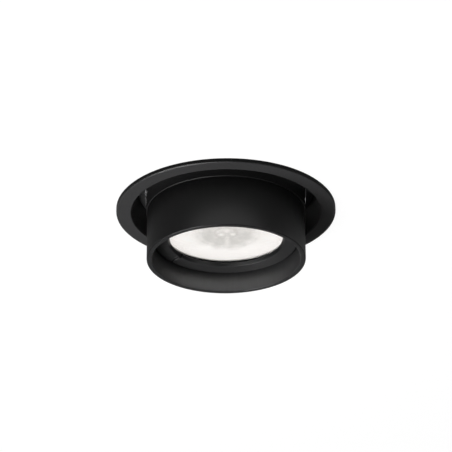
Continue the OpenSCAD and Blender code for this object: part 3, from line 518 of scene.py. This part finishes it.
def prism(bm, outline, low, high, place=None, bevel=0.0, segments=3):
    """Upright block over a closed outline in millimetres, with its edges rounded by bevel."""
    made = bmesh.new()
    place = place or Matrix()
    foot = [made.verts.new((p[0] * MM, p[1] * MM, low * MM)) for p in outline]
    head = [made.verts.new((p[0] * MM, p[1] * MM, high * MM)) for p in outline]
    made.faces.new(foot)
    made.faces.new(head)
    for i in range(len(outline)):
        j = (i + 1) % len(outline)
        made.faces.new((foot[i], foot[j], head[j], head[i]))
    bmesh.ops.recalc_face_normals(made, faces=made.faces)
    if bevel:
        made.edges.ensure_lookup_table()
        edges = [e for e in made.edges if e.calc_face_angle(0) > math.radians(HARD_EDGE)]
        bmesh.ops.bevel(made, geom=edges, offset=bevel * MM, segments=segments, profile=0.5,
                        affect="EDGES", clamp_overlap=True)
    made.transform(place)
    absorb(bm, made)


def obround(x, r, steps=16):
    """Outline of two half circles of radius r, at -x and x."""
    right = [(x + r * math.cos(t), r * math.sin(t))
             for t in (math.pi * (k / steps - 0.5) for k in range(steps + 1))]
    return right + [(-px, -py) for px, py in right]


def sweep(bm, route, radius, sides, up=(0, 1, 0)):
    """Round wire along route, in millimetres. The route doesn't start along up."""
    rings = []
    pts = [Vector(p) * MM for p in route]
    angles = [2 * math.pi * k / sides for k in range(sides)]
    side = None
    for i, p in enumerate(pts):
        t = (pts[min(i + 1, len(pts) - 1)] - pts[max(i - 1, 0)]).normalized()
        if side is None:
            side = t.cross(Vector(up)).normalized()
        side = (side - t * side.dot(t)).normalized()
        other = t.cross(side)
        rings.append([bm.verts.new(p + (side * math.cos(a) + other * math.sin(a)) * radius * MM)
                      for a in angles])
    for a, b in zip(rings, rings[1:]):
        for k in range(sides):
            n = (k + 1) % sides
            bm.faces.new((a[k], a[n], b[n], b[k]))
    bm.faces.new(rings[0])
    bm.faces.new(rings[-1])


# ------------------------------------------------------------------ sizes, in millimetres

# Heights over the ceiling
SEAM_Z = -1.45
RIM_Z = -22.95
RING_Z = -14.95
GLASS_Z = -12.95
SEAL_Z, SEAL_TOP = -10.95, -10.45
LENS_Z, LENS_TOP = -9.85, -8.25
BOX_Z = 52.85
# Sleeve, with the shelf over the glass, the spigot in the head and the seal's groove
SLEEVE_IN, SLEEVE_R = 29.95, 32.35
FLARE, FLARE_H = 0.35, 3.9
SHELF_IN, SHELF_TOP = 25.75, -8.45
SPIGOT_IN, SPIGOT_R, SPIGOT_TOP = 29.2, 31.2, 3.15
GROOVE_R, GROOVE_Z, GROOVE_HALF = 30.7, 1.6, 0.55
# Retaining ring: its sloping lip and the step at its rim
RING_IN, RING_R = 23.05, 29.85
LIP, LIP_H, THROAT = 0.7, 0.5, 0.3
STEP, STEP_H = 0.95, 0.85
# The slit and the notches beside it, as half widths in degrees, and how far the notches go
SLIT_AT, SLIT_HALF, NOTCH_HALF, GAP_HALF = 142.0, 0.87, 1.62, 1.6
NOTCH_R, NOTCH_RISE = 28.7, 0.094
# Fingernail nib beside the slit
NIB_IN, NIB_R, NIB_NEAR, NIB_FAR, NIB_DROP = 24.05, 26.25, 0.45, 1.65, 0.7
# Lens
LENS_R, BOSS_R, WELL_R, WELL = 24.45, 3.9, 12.5, 0.5
# Seals: in the flange's back, behind the glass, and the O-ring round the spigot
FLANGE_SEAL_IN, FLANGE_SEAL_R, FLANGE_SEAL_Z = 41.6, 43.8, -0.8
GLASS_SEAL_IN, GLASS_SEAL_R = 26.25, 29.45
O_RING_MID, O_RING_R = 30.975, 0.275
# Grommet, with its flange in the box and its neck, and the gland's bush
GROMMET_R, NECK_R, GROMMET_DROP, NECK_RISE = 2.9, 2.2, 0.8, 1.6
BUSH_IN, BUSH_R, BUSH_START, BUSH_END = 3.4, 4.6, 23.0, 30.4
# Clips: the pin's place, the arm's droop, the spring's coil, and the boot with its ribs
PIN_X, PIN_Z = 37.8007, 12.9
DROOP = math.radians(12)
COIL_R, WIRE_R, COIL_PITCH, COIL_Y = 1.6, 0.45, 1.35, 3.375
COIL_TURNS, TURN_STEPS = 4, 28
BOOT_START, BOOT_END, BOOT_HALF, BOOT_R = 21, 30, 6.7, 1.4
RIB_STARTS, RIB_WIDE, RIB_HALF, RIB_Z, RIB_TOP = (23.2, 25.4, 27.6), 0.9, 6.3, -1.44, -1.2
# Leads, from the holder's side, round a bend and up; and the height of the gland's axis
LEAD_X, LEAD_Y, LEAD_Z, LEAD_R, LEAD_BEND = 3.2, 12.0, 45.65, 1.1, 2.4
LEAD_START = 7.2
GLAND_Z = 62.05


def turned(name, body, slot, node, outline, segments, sharp=HARD_EDGE, place=None):
    """A piece made of one outline turned about its axis."""
    bm = bmesh.new()
    revolve(bm, outline, segments, place)
    piece(name, bm, body, slot, node, sharp)


# ------------------------------------------------------------------ sleeve, ring and lens

turned("sleeve", "head", "sleeve_black", "front_sleeve", rounded([
    (SLEEVE_IN + FLARE, RIM_Z, 0.35), (SLEEVE_R, RIM_Z, 0.4), (SLEEVE_R, SEAM_Z, 0.08),
    (SPIGOT_R, SEAM_Z, 0), (SPIGOT_R, GROOVE_Z - GROOVE_HALF, 0),
    (GROOVE_R, GROOVE_Z - GROOVE_HALF, 0), (GROOVE_R, GROOVE_Z + GROOVE_HALF, 0),
    (SPIGOT_R, GROOVE_Z + GROOVE_HALF, 0), (SPIGOT_R, SPIGOT_TOP, 0.3),
    (SPIGOT_IN, SPIGOT_TOP, 0.3), (SPIGOT_IN, SHELF_TOP, 0), (SHELF_IN, SHELF_TOP, 0.1),
    (SHELF_IN, SEAL_TOP, 0.1), (SLEEVE_IN, SEAL_TOP, 0), (SLEEVE_IN, RIM_Z + FLARE_H, 0),
], 5), 256, 25)

ring_lip = (RING_IN + LIP, RING_Z + LIP_H, 0.2)
ring_throat = [(RING_IN, GLASS_Z, 0.08), (RING_IN, GLASS_Z - THROAT, 0.1)]
bm = bmesh.new()
revolve(bm, rounded([
    ring_lip, (RING_R - STEP, RING_Z, 0.12), (RING_R - STEP + 0.1, RING_Z + STEP_H, 0.05),
    (RING_R, RING_Z + STEP_H + 0.05, 0.05), (RING_R, GLASS_Z, 0.1), *ring_throat,
]), 240, start=SLIT_AT + GAP_HALF, turn=360 - 2 * GAP_HALF)
for start in (SLIT_AT + SLIT_HALF, SLIT_AT - NOTCH_HALF):
    revolve(bm, rounded([
        ring_lip, (NOTCH_R, RING_Z + NOTCH_RISE, 0.3), (NOTCH_R, GLASS_Z, 0.3), *ring_throat,
    ]), 3, start=start, turn=NOTCH_HALF - SLIT_HALF)
nib = [(NIB_IN, NIB_NEAR), (NIB_R, NIB_NEAR), (NIB_R, NIB_FAR), (NIB_IN, NIB_FAR)]
beside_slit = Matrix.Rotation(math.radians(SLIT_AT), 4, "Z")
prism(bm, nib, RING_Z - NIB_DROP, RING_Z + 0.6, beside_slit, 0.22)
piece("split_ring", bm, "glass_ring", "sleeve_black", "retaining_ring", 25)

turned("lens", "lamp", "lamp_lens", "lamp_lens", rounded([
    (0.02, LENS_Z, 0), (BOSS_R, LENS_Z, 0.25), (BOSS_R + 0.6, LENS_Z + WELL, 0.3),
    (WELL_R - 0.9, LENS_Z + WELL, 0.5), (WELL_R, LENS_Z, 0.5), (LENS_R, LENS_Z, 0.35),
    (LENS_R, LENS_TOP, 0), (0.02, LENS_TOP, 0),
]), 128, 40)

# ------------------------------------------------------------------ seals

turned("flange_seal", "trim", "seal_rubber", "flange_gasket", rounded([
    (FLANGE_SEAL_IN, FLANGE_SEAL_Z, 0), (FLANGE_SEAL_R, FLANGE_SEAL_Z, 0),
    (FLANGE_SEAL_R, 0, 0.25), (FLANGE_SEAL_IN, 0, 0.25),
]), 160)
turned("glass_seal", "head", "seal_rubber", "glass_gasket", rounded([
    (GLASS_SEAL_IN, SEAL_Z, 0.1), (GLASS_SEAL_R, SEAL_Z, 0.1),
    (GLASS_SEAL_R, SEAL_TOP, 0.1), (GLASS_SEAL_IN, SEAL_TOP, 0.1),
], 3), 128)
turned("spigot_seal", "head", "seal_rubber", "sleeve_seal", [
    (O_RING_MID + O_RING_R * math.cos(t), GROOVE_Z + O_RING_R * math.sin(t))
    for t in (k * math.pi / 8 for k in range(16))
], 128)

bm = bmesh.new()
over_leads = Matrix.Translation((0, LEAD_Y * MM, 0))
prism(bm, obround(LEAD_X, GROMMET_R), BOX_Z - GROMMET_DROP, BOX_Z, over_leads, 0.3)
prism(bm, obround(LEAD_X, NECK_R), BOX_Z - 0.05, BOX_Z + NECK_RISE, over_leads, 0.1)
piece("box_grommet", bm, "head", "seal_rubber", "lead_grommet")

along_x = Matrix.Translation((0, 0, GLAND_Z * MM)) @ Matrix.Rotation(math.pi / 2, 4, "Y")
turned("gland_bush", "head", "seal_rubber", "gland_seal", rounded([
    (BUSH_IN, BUSH_START, 0.3), (BUSH_R, BUSH_START, 0.1), (BUSH_R, BUSH_END, 0.2),
    (BUSH_IN, BUSH_END, 0.5),
]), 64, place=along_x)

# ------------------------------------------------------------------ leads in braided sleeving

bm = bmesh.new()
# Each lead comes out of the holder, bends, and goes up into the box.
for x in (-LEAD_X, LEAD_X):
    route = [(x, LEAD_START + 0.4 * k, LEAD_Z) for k in range(6)]
    for k in range(17):
        t = math.pi / 2 * k / 16
        route.append((x, LEAD_Y - LEAD_BEND + LEAD_BEND * math.sin(t),
                      LEAD_Z + LEAD_BEND * (1 - math.cos(t))))
    route += [(x, LEAD_Y, LEAD_Z + LEAD_BEND + 0.94 * k) for k in range(1, 11)]
    sweep(bm, route, LEAD_R, 24, up=(1, 0, 0))
piece("braided_leads", bm, "head", "lead_sleeve", "holder_leads", 60)

# ------------------------------------------------------------------ clip springs and boots

at_pin = Matrix.Translation((PIN_X * MM, 0, PIN_Z * MM))
on_arm = at_pin @ Matrix.Rotation(DROOP, 4, "Y")
half_turn = Matrix.Rotation(math.pi, 4, "Z")
lying = Matrix.Rotation(math.pi / 2, 4, "X")


def coil_point(step, y):
    """Place of the wire's middle, that many steps round the pin."""
    angle = 2 * math.pi * step / TURN_STEPS
    return (-COIL_R * math.sin(angle), y, COIL_R * math.cos(angle))


def coil_route():
    """A leg that lies on the arm, and four turns round the pin."""
    leg = [(5.5, COIL_Y, 1.05), (4.6, COIL_Y, 1.07), (3.7, COIL_Y, 1.18), (2.75, COIL_Y, 1.36),
           (1.9, COIL_Y, 1.49), (1.1, COIL_Y, 1.57), (0.5, COIL_Y, COIL_R)]
    return leg + [coil_point(k, COIL_Y - COIL_PITCH * k / TURN_STEPS)
                  for k in range(COIL_TURNS * TURN_STEPS + 1)]


def stop_route():
    """Three quarters of a turn round the pin, and a foot on the collar's top."""
    turn = [coil_point(k, -COIL_Y) for k in range(22)]
    return turn + [(COIL_R, -COIL_Y, z) for z in (-0.6, -1.2, -2.3)]


def boot_outline():
    """Section of the boot along the arm, round at its end."""
    nose = [(BOOT_END + BOOT_R * math.cos(t), BOOT_R * math.sin(t))
            for t in (math.pi * (k / 12 - 0.5) for k in range(1, 12))]
    return [(BOOT_START, -BOOT_R), (BOOT_END, -BOOT_R), *nose, (BOOT_END, BOOT_R),
            (BOOT_START, BOOT_R)]


for side, place in (("right", on_arm), ("left", half_turn @ on_arm)):
    body = "clip_" + side
    bm = bmesh.new()
    sweep(bm, coil_route(), WIRE_R, 16)
    bm.transform(place)
    piece("spring_" + side, bm, body, "spring_steel", "clip_spring_" + side, 60)
    bm = bmesh.new()
    prism(bm, boot_outline(), -BOOT_HALF, BOOT_HALF, lying, 0.45)
    for x in RIB_STARTS:
        rib = [(x, -RIB_HALF), (x + RIB_WIDE, -RIB_HALF), (x + RIB_WIDE, RIB_HALF), (x, RIB_HALF)]
        prism(bm, rib, RIB_Z, RIB_TOP, None, 0.1, 2)
    bm.transform(place)
    piece("boot_" + side, bm, body, "boot_rubber", "clip_foot_" + side, 50)

bm = bmesh.new()
sweep(bm, stop_route(), WIRE_R, 16)
bm.transform(at_pin)
other = bm.copy()
other.transform(half_turn)
absorb(bm, other)
piece("spring_stops", bm, "trim", "spring_steel", "clip_spring_stops", 60)

# ------------------------------------------------------------------ stage and light


# How bright the back of a one-sided surface is in gloss
BACK_GLOW = 0.7


def ray_kinds(tree):
    """Two sockets: 1 for a ray from the camera, and 1 for a ray by way of gloss or glass."""
    path = tree.nodes.new("ShaderNodeLightPath")
    mirrored = math_node(tree, "MAXIMUM", path.outputs["Is Glossy Ray"],
                         path.outputs["Is Transmission Ray"])
    return path.outputs["Is Camera Ray"], mirrored


def stage_shader(name, albedo, camera_glow, mirror_glow, one_sided=False):
    """A pale stage surface. It glows towards the camera, so that it shows white, and less so in
    gloss and glass. A one-sided one is clear when seen from behind, and pale in gloss."""
    mat = bpy.data.materials.new(name)
    mat.use_nodes = True
    tree = mat.node_tree
    tree.nodes.clear()
    camera, mirrored = ray_kinds(tree)

    def shader(kind, *sockets):
        n = tree.nodes.new(kind)
        for socket, source in zip(n.inputs, sockets):
            tree.links.new(source, socket)
        return n

    glow = shader("ShaderNodeEmission")
    strength = math_node(tree, "ADD", math_node(tree, "MULTIPLY", camera, camera_glow),
                         math_node(tree, "MULTIPLY", mirrored, mirror_glow))
    tree.links.new(strength, glow.inputs["Strength"])
    matt = shader("ShaderNodeBsdfDiffuse")
    matt.inputs["Color"].default_value = (albedo, albedo, albedo, 1.0)
    surface = shader("ShaderNodeAddShader", glow.outputs[0], matt.outputs[0])
    if one_sided:
        path = shader("ShaderNodeLightPath")
        geometry = shader("ShaderNodeNewGeometry")
        clear = shader("ShaderNodeBsdfTransparent")
        pale = shader("ShaderNodeEmission")
        pale.inputs["Strength"].default_value = BACK_GLOW
        behind = shader("ShaderNodeMixShader", path.outputs["Is Glossy Ray"], clear.outputs[0],
                        pale.outputs[0])
        surface = shader("ShaderNodeMixShader", geometry.outputs["Backfacing"],
                         surface.outputs[0], behind.outputs[0])
    shader("ShaderNodeOutputMaterial", surface.outputs[0])
    return mat


def stage_ring(name, inner, outer, z, material, down=False):
    """Flat ring, or a disc with no inner radius, that faces up, or down where asked."""
    bm = bmesh.new()
    segments = 128
    turns = [2 * math.pi * k / segments for k in range(segments)]
    rim = [bm.verts.new((outer * math.cos(a), outer * math.sin(a), z)) for a in turns]
    if inner:
        hole = [bm.verts.new((inner * math.cos(a), inner * math.sin(a), z)) for a in turns]
        for k in range(segments):
            n = (k + 1) % segments
            bm.faces.new((rim[k], rim[n], hole[n], hole[k]))
    else:
        bm.faces.new(rim)
    if down:
        bmesh.ops.reverse_faces(bm, faces=bm.faces)
    mesh = bpy.data.meshes.new(name)
    bm.to_mesh(mesh)
    bm.free()
    o = bpy.data.objects.new(name, mesh)
    scene.collection.objects.link(o)
    mesh.materials.append(material)
    return o


# Radii and heights in metres. The hole in the ceiling goes round the collar.
STAGE_R, CEILING_HOLE, FLOOR_Z = 12.0, 0.0412, -1.3
VOID_R, VOID_Z = 0.5, 0.2

white = stage_shader("ceiling_white", albedo=0.1, camera_glow=0.95, mirror_glow=0.05,
                     one_sided=True)
pale = stage_shader("floor_pale", albedo=0.5, camera_glow=0.97, mirror_glow=0.03)
dark = stage_shader("ceiling_void_painted_shade", albedo=0.002, camera_glow=0.02, mirror_glow=0.0,
                    one_sided=True)
stage_ring("ceiling", CEILING_HOLE, STAGE_R, 0.0, white, down=True)
stage_ring("floor", 0.0, STAGE_R, FLOOR_Z, pale)
# Painted shade: a dark disc for the dark inside of the ceiling, behind the narrow gaps beside the
# head. Only the camera sees it.
void = stage_ring("ceiling_void", 0.0, VOID_R, VOID_Z, dark, down=True)
for ray in ("diffuse", "glossy", "transmission", "volume_scatter", "shadow"):
    setattr(void, "visible_" + ray, False)

# A white sky to the camera, in gloss and through glass, and a weaker one as a light.
SKY_LIGHT, SKY_SEEN = 0.6, 1.0
world = bpy.data.worlds.new("studio")
scene.world = world
world.use_nodes = True
sky = world.node_tree
background = sky.nodes["Background"]
background.inputs["Color"].default_value = (1, 1, 1, 1)
level = sky.nodes.new("ShaderNodeMapRange")
level.inputs["To Min"].default_value = SKY_LIGHT
level.inputs["To Max"].default_value = SKY_SEEN
sky.links.new(math_node(sky, "MAXIMUM", *ray_kinds(sky)), level.inputs["Value"])
sky.links.new(level.outputs["Result"], background.inputs["Strength"])


def area_light(name, place, target, size, power, shape="RECTANGLE"):
    """A soft lamp at place that shines at target, and that the camera doesn't see."""
    data = bpy.data.lights.new(name, "AREA")
    data.shape = shape
    data.size, data.size_y = size
    data.energy = power
    o = bpy.data.objects.new(name, data)
    scene.collection.objects.link(o)
    o.location = place
    o.rotation_mode = "QUATERNION"
    o.rotation_quaternion = (Vector(target) - Vector(place)).to_track_quat("-Z", "Y")
    o.visible_camera = False


# Name, place, target and size in metres, and power in watts. The keys light the flange from
# below on the left. The cards under the ceiling give the sleeve's wall its fall-off. The top
# lamps light what is above the ceiling.
LIGHTS = [
    ("key", (-0.5, 0.0, -0.7), (0, 0, 0), (0.3, 0.3), 2.9),
    ("key_front", (-0.45, -0.3, -0.75), (0, 0, 0), (0.3, 0.3), 3.7),
    ("fill", (0.45, -0.4, -0.35), (0, 0, 0), (0.4, 0.4), 0.4),
    ("near", (-0.06, -0.16, -0.16), (0, -0.03, 0), (0.12, 0.12), 0.03),
    ("card_front", (0.0, -0.085, -0.004), (0, -0.085, -1), (0.16, 0.06), 0.0265),
    ("card_right", (0.11, -0.02, -0.004), (0.11, -0.02, -1), (0.1, 0.14), 0.012),
    ("top", (0.3, -0.6, 0.9), (0, 0, 0.03), (1.6, 1.6), 7.5),
    ("top_back", (-0.4, 0.7, 0.6), (0, 0, 0.03), (1.6, 1.6), 5.0),
]
for light in LIGHTS:
    area_light(*light)
# What the lit lamp sheds into the sleeve, from just under the glass
area_light("lamp_glow", (0, 0, -0.0133), (0, 0, -1), (0.036, 0.036), 0.004, "DISK")

scene.view_settings.view_transform = "Standard"
